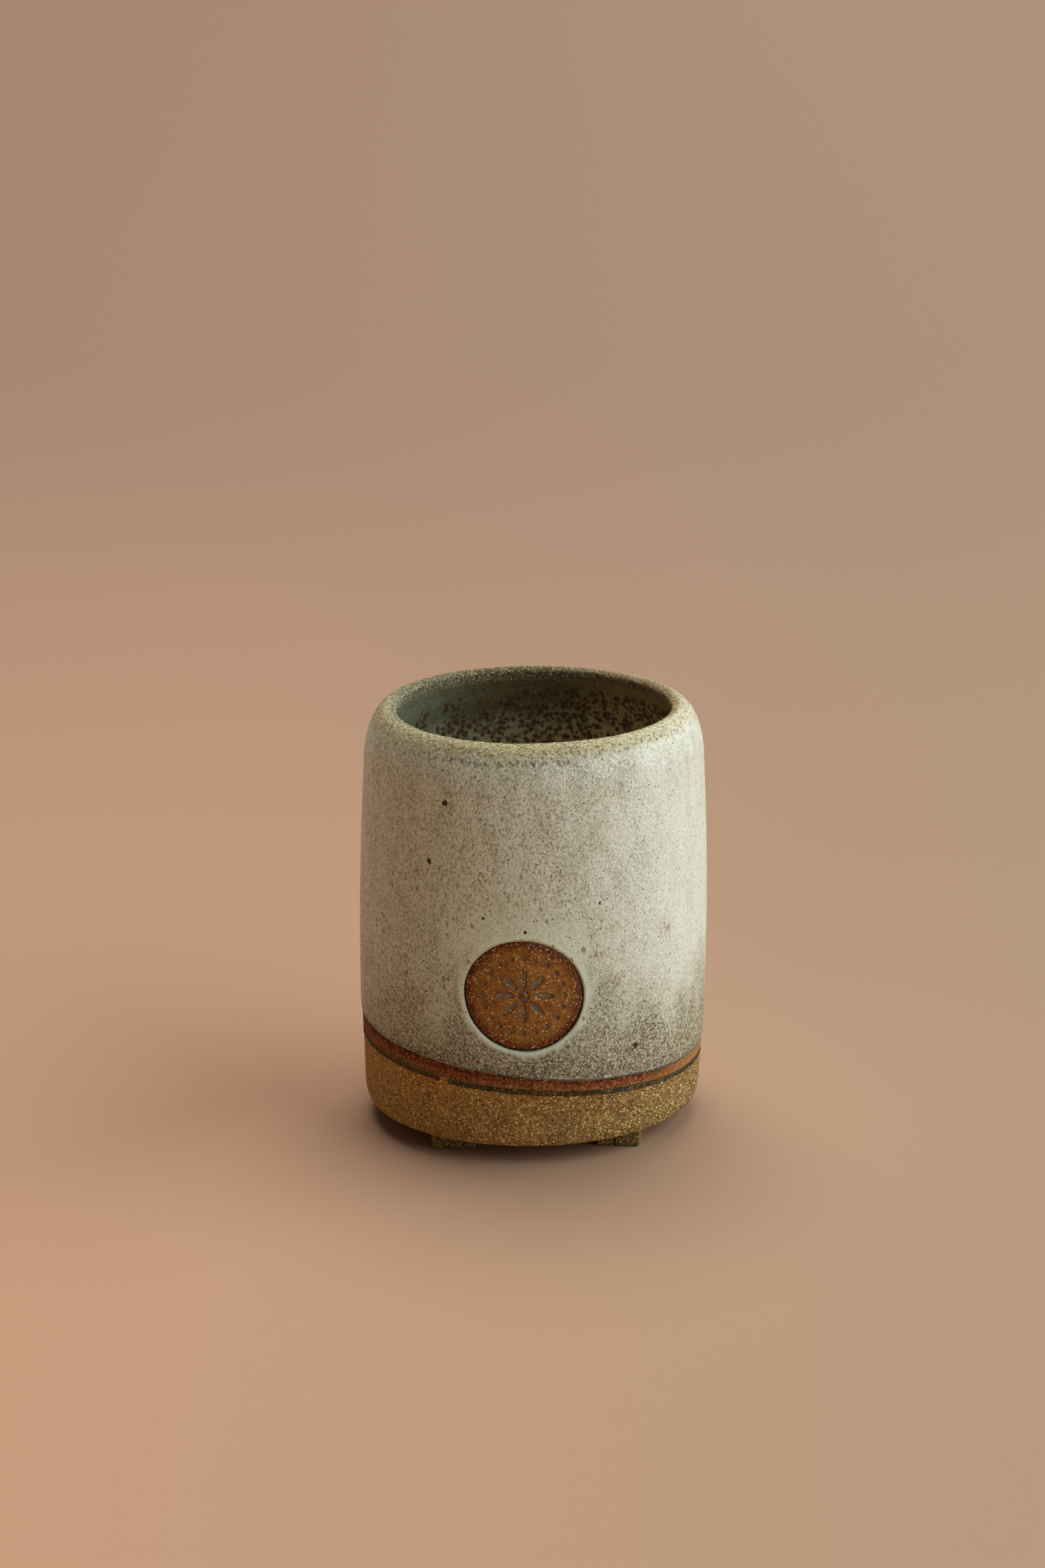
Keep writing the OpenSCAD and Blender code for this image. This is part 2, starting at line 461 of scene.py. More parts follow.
def grain(place, size, share, width=0.55):
    """Grains of mixed sizes in a share of the cells of one size in millimetres."""
    cells = add_step("ShaderNodeTexVoronoi", {"Vector": place, "Scale": 1 / size})
    pick = add_step("ShaderNodeSeparateColor", {"Color": cells.outputs["Color"]})
    chosen = reckon("LESS_THAN", pick.outputs[0], share)
    grown = plus(times(pick.outputs[1], 0.9), 0.55)
    reach = reckon("DIVIDE", cells.outputs["Distance"], grown)
    return times(chosen, fade(reach, width, width * 0.55))


def grit(place, size):
    """A random value from 0 to 1 for each small crystal of one size in millimetres."""
    cells = add_step("ShaderNodeTexVoronoi", {"Vector": place, "Scale": 1 / size})
    return add_step("ShaderNodeSeparateColor", {"Color": cells.outputs["Color"]}).outputs[0]


def tint(share, under, over):
    """Lays one colour over another by a share."""
    return add_step("ShaderNodeMix", {0: share, 6: under, 7: over}, data_type="RGBA").outputs[2]


def lay(share, strength, under, over):
    """Lays one colour over another by a share that is first weakened."""
    return tint(times(share, strength), under, over)


def mark(name):
    """Reads a number that measure wrote."""
    return add_step("ShaderNodeAttribute", {}, attribute_name=name).outputs["Fac"]


crystal_size = 0.26


def clay_grains(place, colour, dark, pale, palest):
    """Crystals and pale grains of the coarse clay, which show through a colour."""
    crystal = grit(place, crystal_size)
    colour = lay(fade(crystal, 0.45, 0.1), 0.75, colour, dark)
    colour = lay(fade(crystal, 0.6, 0.95), 0.8, colour, pale)
    colour = lay(grain(place, 0.3, 0.38, 0.5), 0.6, colour, pale)
    return lay(grain(place, 0.42, 0.25), 0.95, colour, palest)


def close_finish(colour, roughness, relief, depth, gloss=0.25):
    """Joins colour, roughness and relief to the shader of the finish, and sets its shine."""
    shader = finish.node_tree.nodes["Principled BSDF"]
    shader.inputs["Specular IOR Level"].default_value = gloss
    links = finish.node_tree.links
    links.new(colour, shader.inputs["Base Color"])
    links.new(roughness, shader.inputs["Roughness"])
    bump = add_step("ShaderNodeBump", {"Height": relief, "Distance": depth, "Strength": 1.0})
    links.new(bump.outputs[0], shader.inputs["Normal"])


def close_clay(colour, place, size=0.35, detail=3.0, depth=0.14 * MM):
    """Ends the finish of bare clay, whose roughness and relief follow the same small lumps."""
    rough = cloud(place, size, detail)
    close_finish(colour, fade(rough, -1.2, 1.2), rough, depth)


def dress(piece, node):
    """Gives a piece the finish and puts it in the place of its solid."""
    piece.data.materials.clear()
    piece.data.materials.append(finish)
    for face in piece.data.polygons:
        face.use_smooth = True
    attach(piece, "root")
    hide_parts(node)


amber = srgb(176, 132, 72)
clay_brown = srgb(150, 106, 54)
clay_olive = srgb(98, 91, 60)
grog = srgb(246, 214, 136)
grog_tan = srgb(214, 168, 96)
clay_dark = srgb(74, 50, 26)
clay_orange = srgb(182, 106, 50)

finish = new_finish("bare_stoneware")
spot = place_in_mm()
uneven = unsteady(spot, 0.4, 0.5)
colour = tint(fade(cloud(spot, 7), 0.35, 0.65), amber, clay_brown)
warm = times(fade(mark("below"), 6, 0), fade(cloud(spot, 16), 0.35, 0.65))
colour = tint(warm, colour, clay_orange)
across = parts_of(spot)[0]
colour = tint(times(fade(across, -24, 30), 0.7), colour, clay_olive)
# Painted light: towards -X, where the wall is in shade, the clay is laid paler with grog tan.
colour = lay(fade(across, 4, -34), 0.3, colour, grog_tan)
colour = clay_grains(uneven, colour, clay_dark, grog_tan, grog)
close_clay(colour, spot)
dress(pot, "pot_body")

# Four blocks of clay were cut with a wire, luted under the pot near its edge and left rough.
# They are a darker olive brown than the wall, and the front right one has a drying crack.
foot_inset = 8.1 * MM
foot_width = 10.2 * MM
foot_depth = 10.8 * MM
foot_corner = 0.7 * MM
foot_draft = 0.2 * MM
foot_overlap = 0.1 * MM
foot_voxel = 0.2 * MM
crack_place = 0.9 * MM
crack_width = 0.35 * MM
crack_depth = 0.6 * MM
feet = {
    "foot_front_left": (-1, -1, 39, -2), "foot_front_right": (1, -1, 41, -5),
    "foot_back_left": (-1, 1, 40, -4), "foot_back_right": (1, 1, 42, 6)}

foot_olive = srgb(138, 116, 60)
foot_shade = srgb(90, 74, 34)
foot_dark = srgb(44, 36, 18)
foot_pale = srgb(184, 158, 92)
finish = new_finish("wire_cut_clay")
spot = place_in_mm()
colour = tint(cloud(spot, 2.4, 3.0), foot_olive, foot_shade)
colour = clay_grains(unsteady(spot, 0.4, 0.5), colour, foot_dark, foot_pale, grog_tan)
close_clay(colour, spot, 0.6, 4.0, 0.16 * MM)


def above_sole(place):
    return 0.2 + 0.8 * blend_in(place.z, 0, MM)


for node, (side, end, turn, askew) in feet.items():
    bpy.ops.object.select_all(action="DESELECT")
    bpy.ops.mesh.primitive_cube_add(size=1, location=(0, 0, ground / 2),
                                    scale=(foot_width, foot_depth, ground))
    foot = bpy.context.object
    foot.name = "block_" + node
    bpy.ops.object.transform_apply(location=True, rotation=True, scale=True)
    for edge in foot.data.edges:
        ends = [foot.data.vertices[k].co for k in edge.vertices]
        edge.select = abs(ends[0].z - ends[1].z) > ground / 2
    bpy.ops.object.mode_set(mode="EDIT")
    bpy.ops.mesh.bevel(offset=foot_corner, segments=2)
    bpy.ops.mesh.select_all(action="SELECT")
    bpy.ops.mesh.subdivide(number_cuts=3)
    bpy.ops.object.mode_set(mode="OBJECT")
    fine_cut = foot.modifiers.new("fine_cut", "REMESH")
    fine_cut.mode = "VOXEL"
    fine_cut.voxel_size = foot_voxel
    bpy.ops.object.modifier_apply(modifier="fine_cut")

    def trim(place):
        """Draws the foot in towards its sole, and opens the drying crack."""
        low = blend_in(place.z, 0.6 * MM, 0)
        slim = 1 - 2 * (foot_draft * (1 - place.z / ground) + 0.1 * MM * low * low) / foot_width
        crack = 0
        if node == "foot_front_right":
            gap = abs(place.x + crack_place - 0.3 * MM * noise.noise(place / MM))
            crack = crack_depth * blend_in(gap, crack_width, 0) * blend_in(place.y, 0, -foot_depth / 2)
        return Vector((place.x * slim, place.y * slim + crack, place.z))

    reshape(foot, trim)
    ring = heel_radius - heel_in - foot_inset
    turn = math.radians(turn)
    foot.data.transform(
        Matrix.Translation((side * ring * math.sin(turn), end * ring * math.cos(turn), 0))
        @ Matrix.Rotation(math.radians(askew), 4, "Z"))
    roughen(foot, "CLOUDS", 2 * MM, 0.16 * MM, above_sole)
    roughen(foot, "VORONOI", 0.7 * MM, 0.2 * MM, above_sole)
    floor_gap = min(point.co.z for point in foot.data.vertices)
    reshape(foot, lambda place: Vector((place.x, place.y, (place.z - floor_gap)
                                        * (ground + foot_overlap) / (ground - floor_gap))))
    dress(foot, node)

# The seal is a round pad of iron-rich clay let into the wall. A rosette was pressed into it,
# and the pressed marks were filled with grey slip before the pot was glazed round it.
seal_sink = 0.2 * MM
seal_columns = 400
seal_pitch = 0.12 * MM
petals = 8
petal_middle = 4 * MM
petal_length = 2.15 * MM
petal_width = 0.75 * MM
dots = 20
dot_ring = 8.5 * MM
dot_radius = 0.5 * MM
eye_radius = 1 * MM
mark_depth = 0.38 * MM
seal_round = 0.6 * MM
seal_back = seal_sink - seal_depth + 0.1 * MM
dish_depth = 0.1 * MM
pale_edge_turn = math.radians(35)


def pressed(across, up):
    """How deep the seal is pressed at a place, from 0 to 1."""
    radius = math.hypot(across, up)
    turn = math.atan2(up, across)
    deepest = blend_in(abs(radius - eye_radius), 0.42 * MM, 0.18 * MM)
    sector = 2 * math.pi / petals
    off = (turn + sector / 2) % sector - sector / 2
    along = (radius * math.cos(off) - petal_middle) / petal_length
    aside = radius * math.sin(off) / petal_width
    deepest = max(deepest, blend_in(math.hypot(along, aside), 1.15, 0.6))
    sector = 2 * math.pi / dots
    off = (turn + sector / 2) % sector - sector / 2
    dot = math.hypot(radius * math.cos(off) - dot_ring, radius * math.sin(off)) / dot_radius
    return max(deepest, blend_in(dot, 1.25, 0.55))


pad = [(radius, 0) for radius in steps(0, seal_radius - seal_round, seal_pitch)]
pad += [(seal_radius - seal_round + seal_round * math.sin(turn), -0.5 * MM * (1 - math.cos(turn)))
        for turn in steps(0.3, math.pi / 2, 0.3)]
pad += [(seal_radius, seal_back), (0, seal_back)]
seal = turn_piece("pressed_seal", pad, seal_columns, base=0)
measure(seal, "slip", lambda place: pressed(place.x, place.y))
measure(seal, "edge", lambda place: (seal_radius - math.hypot(place.x, place.y)) / MM)
measure(seal, "pale_side", lambda place: blend_in(
    math.cos(math.atan2(place.y, place.x) - pale_edge_turn), 0.45, 0.95))


def set_seal(place):
    """Presses the marks into the flat pad, and bends it to the wall at its place."""
    turn = math.atan2(place.y, place.x)
    dish = dish_depth * noise.noise(place / (4 * MM)) - dish_depth
    depth = place.z - seal_sink + dish - mark_depth * pressed(place.x, place.y) * (place.z > -MM / 4)
    grown = seal_edge(turn) / seal_radius
    across = place.x * grown
    up = place.y * grown
    height = seal_height + up
    out = math.sqrt((wall_radius(height) + depth) ** 2 - across ** 2)
    return Matrix.Rotation(seal_turn, 3, "Z") @ Vector((across, -out, ground + height))


reshape(seal, set_seal)
bpy.context.view_layer.objects.active = seal
bpy.ops.object.mode_set(mode="EDIT")
bpy.ops.mesh.select_all(action="SELECT")
bpy.ops.mesh.normals_make_consistent(inside=False)
bpy.ops.object.mode_set(mode="OBJECT")


def seal_face(place):
    across, _, out = on_seal(place)
    return 1 if out > math.sqrt(max(0, belly_radius ** 2 - across ** 2)) - 1.2 * MM else 0


roughen(seal, "CLOUDS", 0.5 * MM, 0.07 * MM, seal_face)
settle(seal)

seal_orange = srgb(166, 113, 46)
seal_brown = srgb(140, 92, 38)
seal_rim = srgb(98, 38, 18)
seal_edge_dark = srgb(58, 30, 20)
seal_violet = srgb(132, 118, 116)
seal_slip = srgb(122, 118, 98)
seal_amber = srgb(204, 140, 70)
seal_grog = srgb(244, 206, 150)
finish = new_finish("seal_clay")
spot = place_in_mm()
uneven = unsteady(spot, 0.4, 0.5)
colour = tint(fade(cloud(spot, 2.5), 0.35, 0.65), seal_orange, seal_brown)
ragged = plus(mark("edge"), times(cloud(spot, 1.2), 1.6))
colour = tint(fade(ragged, 3.9, 1.3), colour, seal_rim)
colour = tint(fade(ragged, 1.4, 0.7), colour, seal_edge_dark)
ring_dark = fade(reckon("ABSOLUTE", plus(mark("slip"), -0.3)), 0.3, 0.1)
colour = tint(times(ring_dark, 0.75), colour, seal_rim)
filled = fade(mark("slip"), 0.45, 0.85)
colour = tint(filled, colour, seal_slip)
# A pale violet grey is laid on the edge of the seal towards its upper right.
pale_edge = times(mark("pale_side"), fade(plus(mark("edge"), cloud(spot, 0.4)), 1.5, 0.8))
colour = lay(pale_edge, 0.8, colour, seal_violet)
crystal = grit(uneven, crystal_size)
colour = lay(fade(crystal, 0.4, 0.05), 0.5, colour, seal_rim)
colour = lay(fade(crystal, 0.6, 1.0), 0.45, colour, seal_amber)
speck = grain(uneven, 0.34, 0.14)
colour = lay(speck, 0.85, colour, seal_grog)
relief = cloud(spot, 0.35, 3.0)
close_finish(colour, fade(speck, -2.2, 1.4), relief, 0.1 * MM)
dress(seal, "seal")

# The line was cut with a loop while the pot turned, and dark slip was brushed into it. The tool
# was lifted once at the front left, and there the line breaks off.
line_columns = 640
slip_crown = 0.14 * MM
slip_rise = 0.02 * MM
slip_back = 0.1 * MM

half = line_width / 2 * 1.1
strip = [(-line_depth + slip_crown * math.sin(turn) + slip_rise, line_height - half * math.cos(turn))
         for turn in steps(0, math.pi, 0.4)]
strip.append((-line_depth - slip_back, line_height + half))
strip.append((-line_depth - slip_back, line_height - half))
strip.append(strip[0])
line_strip = turn_piece("slip_line", [(belly_radius + depth, height) for depth, height in strip],
                        line_columns, 2 * math.pi - line_gap_width)


def lay_line(place):
    """Turns the gap of the line to the front left, and lays the line along its groove."""
    start = Matrix.Rotation(line_gap - math.pi / 2 + line_gap_width / 2, 3, "Z") @ place
    height = start.z - ground
    depth = math.hypot(start.x, start.y) - belly_radius
    wide = 1 + 0.25 * ring_noise(start, 8 * MM)
    height = line_at(start) + (height - line_height) * wide
    return move_to(start, wall_radius(height) + depth, height)


reshape(line_strip, lay_line)
roughen(line_strip, "VORONOI", 0.5 * MM, 0.2 * MM, lambda place: 1)
measure(line_strip, "turn", lambda place: math.degrees(bearing(place)))
settle(line_strip)

slip_black = srgb(66, 46, 18)
slip_teal = srgb(52, 52, 34)
slip_faint = srgb(112, 88, 54)
finish = new_finish("dark_slip")
spot = place_in_mm()
uneven = unsteady(spot, 0.5, 0.9)
turn_mark = mark("turn")
colour = tint(fade(reckon("ABSOLUTE", plus(turn_mark, -2)), 6, 30), slip_black, slip_teal)
left_fade = fade(turn_mark, -25, -43)
right_fade = fade(turn_mark, 62, 88)
worn = plus(left_fade, times(right_fade, 0.15))
worn = plus(worn, fade(cloud(spot, 1.1), 0.52, 0.72))
colour = tint(worn, colour, slip_faint)
crystal = grit(uneven, crystal_size)
colour = lay(fade(crystal, 0.62, 1.0), 0.5, colour, slip_faint)
colour = lay(grain(uneven, 0.34, 0.24), 0.6, colour, grog_tan)
close_clay(colour, spot)
dress(line_strip, "iron_line")

# A band of iron slip was brushed on the clay from the line up to where the glaze begins. It
# fired dark red under the edge of the glaze and fades to the brown of the clay at the line.
dip_height = 15.7 * MM
dip_slope = 0.095
dip_curve = 0.9 * MM
dip_sway = 0.3 * MM
dip_shake = 0.1 * MM
wash_thickness = 0.05 * MM
wash_sink = 0.16 * MM
wash_under_glaze = 0.8 * MM
wash_columns = 640
band_height = 10 * MM


def dip_at(place):
    """Height of the lower edge of the glaze over the underside, round the pot."""
    return (dip_height - dip_slope * place.x + dip_curve * (place.x / belly_radius) ** 2
            + dip_sway * ring_noise(place, 14 * MM) + dip_shake * ring_noise(place, 2.5 * MM))


# The face of the band comes out of the clay above the line, and its back lies in the clay.
band = [(share, -wash_sink + (wash_sink + wash_thickness) * blend_in(share, 0, 0.3))
        for share in steps(0, 1, 0.05)]
band += [(1, -0.24 * MM), (0.5, -0.26 * MM), (0, -0.26 * MM), (0, -0.21 * MM)]
band.append(band[0])
wash = turn_piece("iron_band", [(belly_radius + depth, share * band_height) for share, depth in band],
                  wash_columns)


def lay_band(place):
    """Stretches the band from the line up to a little way under the glaze."""
    share = (place.z - ground) / band_height
    depth = math.hypot(place.x, place.y) - belly_radius
    low = line_at(place) + line_edge
    height = low + share * (dip_at(place) + wash_under_glaze - low)
    return move_to(place, wall_radius(height) + depth, height)


measure(wash, "climb", lambda place: (place.z - ground) / band_height)
reshape(wash, lay_band)


def band_face(place):
    depth = wall_radius(place.z - ground) - math.hypot(place.x, place.y)
    return 1 if depth < wash_sink + 0.02 * MM else 0


roughen(wash, "VORONOI", grog_size, 0.14 * MM, band_face)
settle(wash)

wash_red = srgb(88, 27, 9)
wash_orange = srgb(138, 66, 26)
wash_brown = srgb(148, 100, 52)
wash_speck = srgb(214, 150, 92)
wash_dark = srgb(58, 26, 12)
finish = new_finish("iron_slip")
spot = place_in_mm()
uneven = unsteady(spot, 0.5, 0.9)
climb = plus(mark("climb"), times(plus(cloud(spot, 2.2), -0.5), 0.35))
colour = tint(fade(climb, 0.05, 0.45), wash_brown, wash_orange)
colour = tint(fade(climb, 0.35, 0.72), colour, wash_red)
crystal = grit(uneven, crystal_size)
colour = lay(fade(crystal, 0.45, 0.1), 0.85, colour, wash_dark)
colour = lay(fade(crystal, 0.66, 1.0), 0.45, colour, wash_speck)
colour = lay(grain(uneven, 0.34, 0.2), 0.75, colour, wash_speck)
thin_side = fade(parts_of(spot)[0], 22, 37)
colour = lay(thin_side, 0.4, colour, grog_tan)
close_clay(colour, spot)
dress(wash, "iron_wash")

# The pot was dipped on a slant in ash glaze, which left its lower end bare. The glaze lies smooth
# in a roll round the seal, mottled on the wall, and breaks thin and brown over the rough lip.
glaze_thickness = 0.36 * MM
edge_thickness = 0.16 * MM
edge_run = 2.4 * MM
edge_pitch = 0.25 * MM
lip_thickness = 0.26 * MM
glaze_dive = 0.1 * MM
glaze_pitch = 0.62 * MM
roll_width = 3 * MM
roll_height = 0.05 * MM
roll_round = 0.5 * MM
roll_crest = 0.6 * MM
ripple_size = 2.2 * MM
ripple_depth = 0.09 * MM
pit_size = 0.78 * MM
pit_depth = 0.3 * MM
glaze_columns = 520
hide = 0.3 * MM

low_rows = steps(dip_height, dip_height + 3 * MM, edge_pitch)
wall_rows = steps(dip_height + 3.4 * MM, neck_height, glaze_pitch)
clay_side = [(wall_radius(height), height) for height in low_rows + wall_rows]
wall_count = len(clay_side)
clay_side += [shoulder(turn) for turn in steps(0.04, math.pi / 2, 0.04)]
crest_count = len(clay_side)
clay_side += [lip(turn) for turn in steps(0.15, math.pi / 2, 0.15)]
lip_count = len(clay_side)
clay_side += [throat(fall) for fall in steps(0.96, 0.56, 0.04)]
thickness = []
for k, (_, height) in enumerate(clay_side):
    if k < wall_count:
        thickness.append(edge_thickness + (glaze_thickness - edge_thickness)
                         * blend_in(height, dip_height, dip_height + edge_run))
    else:
        thin = blend_in(k, wall_count, crest_count)
        dive = blend_in(k, lip_count, len(clay_side))
        thickness.append((glaze_thickness + (lip_thickness - glaze_thickness) * thin) * (1 - dive)
                         - glaze_dive * dive)
glaze_front = thicken(clay_side, thickness)
glaze_back = thicken(clay_side, [-hide] * len(clay_side))[::-1]
glaze_back = [glaze_back[0]] + glaze_back[6:-10:12] + [glaze_back[-1]]
glaze = turn_piece("ash_glaze", glaze_front + glaze_back + [glaze_front[0]], glaze_columns)


def dip_glaze(place):
    """Tilts the lower rows of the glaze to its slanting edge."""
    height = place.z - ground
    if height > neck_height:
        return place
    depth = math.hypot(place.x, place.y) - wall_radius(height)
    moved = height + (dip_at(place) - dip_height) * blend_in(height, 36 * MM, dip_height)
    return move_to(place, wall_radius(moved) + depth, moved)


reshape(glaze, dip_glaze)


def from_seal(place):
    """Distance outward from the edge of the seal, along the face of the wall."""
    across, up, out = on_seal(place)
    if out < 0:
        return 100 * MM
    return math.hypot(across, up) - seal_edge(math.atan2(up, across))


def halo_share(place):
    """How wide the smooth glaze round the seal is in this direction. It is widest above."""
    across, up, _ = on_seal(place)
    turn = math.atan2(up, across)
    wave = noise.noise(Vector((math.cos(turn), math.sin(turn), 0.8)) * 2)
    return 1 + 0.42 * math.cos(turn - math.radians(75)) + 0.3 * wave


bpy.context.view_layer.objects.active = glaze
bpy.ops.object.mode_set(mode="EDIT")
bpy.ops.mesh.select_mode(type="FACE")
bpy.ops.mesh.select_all(action="DESELECT")
bpy.ops.object.mode_set(mode="OBJECT")
for face in glaze.data.polygons:
    face.select = abs(from_seal(face.center)) < 3.5 * MM
bpy.ops.object.mode_set(mode="EDIT")
bpy.ops.mesh.subdivide(number_cuts=1)
bpy.ops.object.mode_set(mode="OBJECT")


def swell_roll(place):
    """Raises the glaze a little round the seal, and rounds it down at its edge."""
    away = from_seal(place)
    radius = math.hypot(place.x, place.y)
    depth = radius - wall_radius(place.z - ground)
    if away > 4 * MM or depth < hair:
        return place
    tail = blend_in(away / halo_share(place), roll_width, roll_crest)
    inner = min(1, max(0, away / roll_round))
    drop = (glaze_thickness + roll_height) * (1 - math.sqrt(1 - (1 - inner) ** 2))
    reach = (radius + roll_height * tail - drop) / radius
    return Vector((place.x * reach, place.y * reach, place.z))


reshape(glaze, swell_roll)


def glaze_skin(place):
    """1 on the outer face of the glaze and 0 on its hidden back."""
    height = place.z - ground
    radius = math.hypot(place.x, place.y)
    if height < neck_height:
        return 1 if radius > wall_radius(height) + hair else 0
    return 1 if radius > lip_radius or height > pot_height - 8 * MM else 0


def rough_lip(place):
    height = place.z - ground
    return glaze_skin(place) * blend_in(height, pot_height - 5 * MM, pot_height - 0.8 * MM)


def calm_skin(place):
    return glaze_skin(place) * (0.25 + 0.75 * blend_in(from_seal(place), roll_round, roll_width))


roughen(glaze, "CLOUDS", ripple_size, ripple_depth, calm_skin)
roughen(glaze, "VORONOI", pit_size, pit_depth, rough_lip)
punch_out(glaze, 0)
measure(glaze, "rise", lambda place: (place.z - ground - dip_at(place)) / MM)
measure(glaze, "halo", lambda place: from_seal(place) / MM / halo_share(place))
measure(glaze, "turn", lambda place: math.degrees(bearing(place)))
measure(glaze, "inward", lambda place: (lip_radius - math.hypot(place.x, place.y)) / MM)
settle(glaze)

ash_cream = srgb(236, 240, 217)
ash_tan = srgb(222, 221, 187)
ash_violet = srgb(216, 212, 208)
ash_olive = srgb(186, 186, 146)
ash_white = srgb(250, 250, 238)
ash_grey = srgb(148, 144, 116)
ash_streak = srgb(182, 180, 146)
ash_green = srgb(212, 228, 202)
burnt_olive = srgb(148, 136, 92)
pepper_dark = srgb(76, 62, 34)
celadon = srgb(236, 248, 222)
ash_pale_and_sheen = srgb(245, 249, 234)
burnt_cloud = srgb(126, 108, 70)
teal_edge = srgb(120, 136, 126)
lip_gold = srgb(172, 154, 102)
lip_shade = srgb(88, 70, 40)
lip_cream = srgb(240, 224, 174)
shoulder_violet = srgb(120, 106, 96)
hole_brown = srgb(60, 44, 26)
stain_brown = srgb(150, 122, 72)
pooled_teal = srgb(112, 118, 94)
pooled_olive = srgb(94, 86, 56)
pooled_brown_painted_light = srgb(176, 146, 98)
marks = [
    ((-20.1, 79.6, 0), 0.85), ((-23.7, 66.5, 0), 0.8), ((-10.9, 55.5, 0), 0.5),
    ((-1.9, 52.7, 0), 0.46), ((14.1, 58.3, 0), 0.44), ((23.2, 24.9, 0), 0.9)]
stains = [
    ((-18.4, 77.9, 0), 1.6), ((31.3, 49.3, 0), 3.2), ((13.8, 47.1, 0), 2.6),
    ((-13.8, 46.0, 0), 3.6), ((-25.9, 34.5, 0), 4.2), ((17.4, 40.5, 0), 3.4)]


def strewn(place, spots, hardness):
    """Round marks at listed places, round the wall and up, and sizes in millimetres."""
    total = 0.0
    for centre, size in spots:
        away = add_step("ShaderNodeVectorMath", {0: place, 1: centre}, operation="DISTANCE")
        total = plus(total, fade(away.outputs["Value"], size, size * hardness))
    return total


def pooled(place):
    """Glaze that ran together below the lip: grey green at -X, olive behind, and at +X a brown laid lighter
    as painted light where the inside is in shade.
    """
    across = plus(parts_of(place)[0], times(cloud(place, 5), 12))
    colour = tint(fade(across, -24, 0), pooled_teal, pooled_olive)
    # Painted light: the brown at +X is laid lighter where the inside lies in shade.
    return tint(fade(across, 8, 30), colour, pooled_brown_painted_light)


def lip_grains(place, colour, zone):
    """Brown pits and pale grains of the rough lip, laid over a colour where zone says."""
    pits = fade(cloud(place, 0.6, 2.0), 0.52, 0.63)
    colour = lay(times(pits, zone), 0.7, colour, lip_shade)
    uneven = unsteady(place, 0.4, 0.5)
    crystal = fade(grit(uneven, 0.3), 0.66, 1.0)
    colour = lay(times(crystal, zone), 0.5, colour, lip_cream)
    bead = grain(uneven, 0.44, 0.34)
    return lay(times(bead, zone), 0.6, colour, lip_cream)


finish = new_finish("ash_glaze")
spot = place_in_mm()
tall = place_in_mm((1, 1, 0.62))
uneven = unsteady(tall, 0.5, 0.6)
across, backward, up = parts_of(spot)
rise = mark("rise")
halo = mark("halo")
wide = cloud(tall, 9, 3.0)
middle = cloud(tall, 2.2, 3.0)
small = cloud(tall, 0.75, 2.0)
fine = cloud(uneven, 0.36, 2.0)
crystal = grit(unsteady(spot, 0.4, 0.5), 0.3)
lip_zone = fade(plus(up, times(small, 3.5)), 88.6, 93.2)
lip_zone = reckon("SUBTRACT", lip_zone, times(fade(across, 4, 28), 0.5))
lip_zone = reckon("MAXIMUM", lip_zone, 0.0)
drift = times(plus(wide, -0.5), 34)
drift = reckon("SUBTRACT", drift, times(fade(across, -5, 25), 5))
low_zone = fade(plus(rise, drift), 24, 0)
ring_zone = times(fade(plus(halo, times(wide, 8)), 11, 5), 0.5)
ring_zone = times(ring_zone, fade(up, 50, 36))
burnt = reckon("MAXIMUM", low_zone, ring_zone)
burnt = times(burnt, plus(times(fade(across, -36, -22), 0.4), 0.6))

colour = tint(fade(wide, 0.34, 0.7), ash_cream, ash_tan)
violet = times(fade(cloud(tall, 4.5), 0.54, 0.74), fade(up, 36, 62))
colour = lay(violet, 0.5, colour, ash_violet)
colour = lay(fade(middle, 0.46, 0.66), 0.6, colour, ash_olive)
streaks = cloud(place_in_mm((1, 1, 0.4)), 4.5, 3.0)
colour = lay(fade(streaks, 0.5, 0.7), 0.55, colour, ash_streak)
colour = lay(fade(streaks, 0.5, 0.34), 0.6, colour, ash_white)
middle_strip = fade(reckon("ABSOLUTE", plus(across, 3)), 20, 4)
colour = lay(middle_strip, 0.35, colour, ash_cream)
colour = lay(fade(across, 2, -28), 0.4, colour, ash_green)
# Towards +X the glaze is laid near white: partly its paler tone there, partly a painted sheen where the low
# lamp at the right falls.
pale_and_sheen_side = times(fade(across, 2, 32), fade(up, 98, 74))
colour = lay(pale_and_sheen_side, 0.7, colour, ash_pale_and_sheen)
colour = lay(burnt, 0.82, colour, burnt_olive)
deepest = fade(rise, 4, 0.5)
colour = lay(deepest, 0.36, colour, lip_shade)
smoky = fade(cloud(spot, 3.4, 3.0), 0.5, 0.66)
colour = lay(times(smoky, burnt), 0.4, colour, burnt_cloud)
contrast = plus(times(burnt, 0.6), times(fade(across, 36, 18), 0.3))
busy = plus(times(fade(across, 26, -4), 0.6), 0.4)
colour = lay(times(fade(small, 0.5, 0.7), busy), 0.6, colour, ash_grey)
colour = lay(times(fade(fine, 0.5, 0.68), busy), 0.48, colour, pepper_dark)
colour = lay(fade(fine, 0.5, 0.34), 0.66, colour, ash_white)
dark_grain = times(fade(crystal, 0.3, 0.05), contrast)
colour = lay(dark_grain, 0.75, colour, pepper_dark)
pale_grain = times(fade(crystal, 0.62, 1.0), contrast)
colour = lay(pale_grain, 0.6, colour, ash_tan)
pepper = plus(cloud(spot, 0.6, 1.0), times(burnt, 0.17))
colour = lay(fade(pepper, 0.69, 0.78), 0.7, colour, pepper_dark)

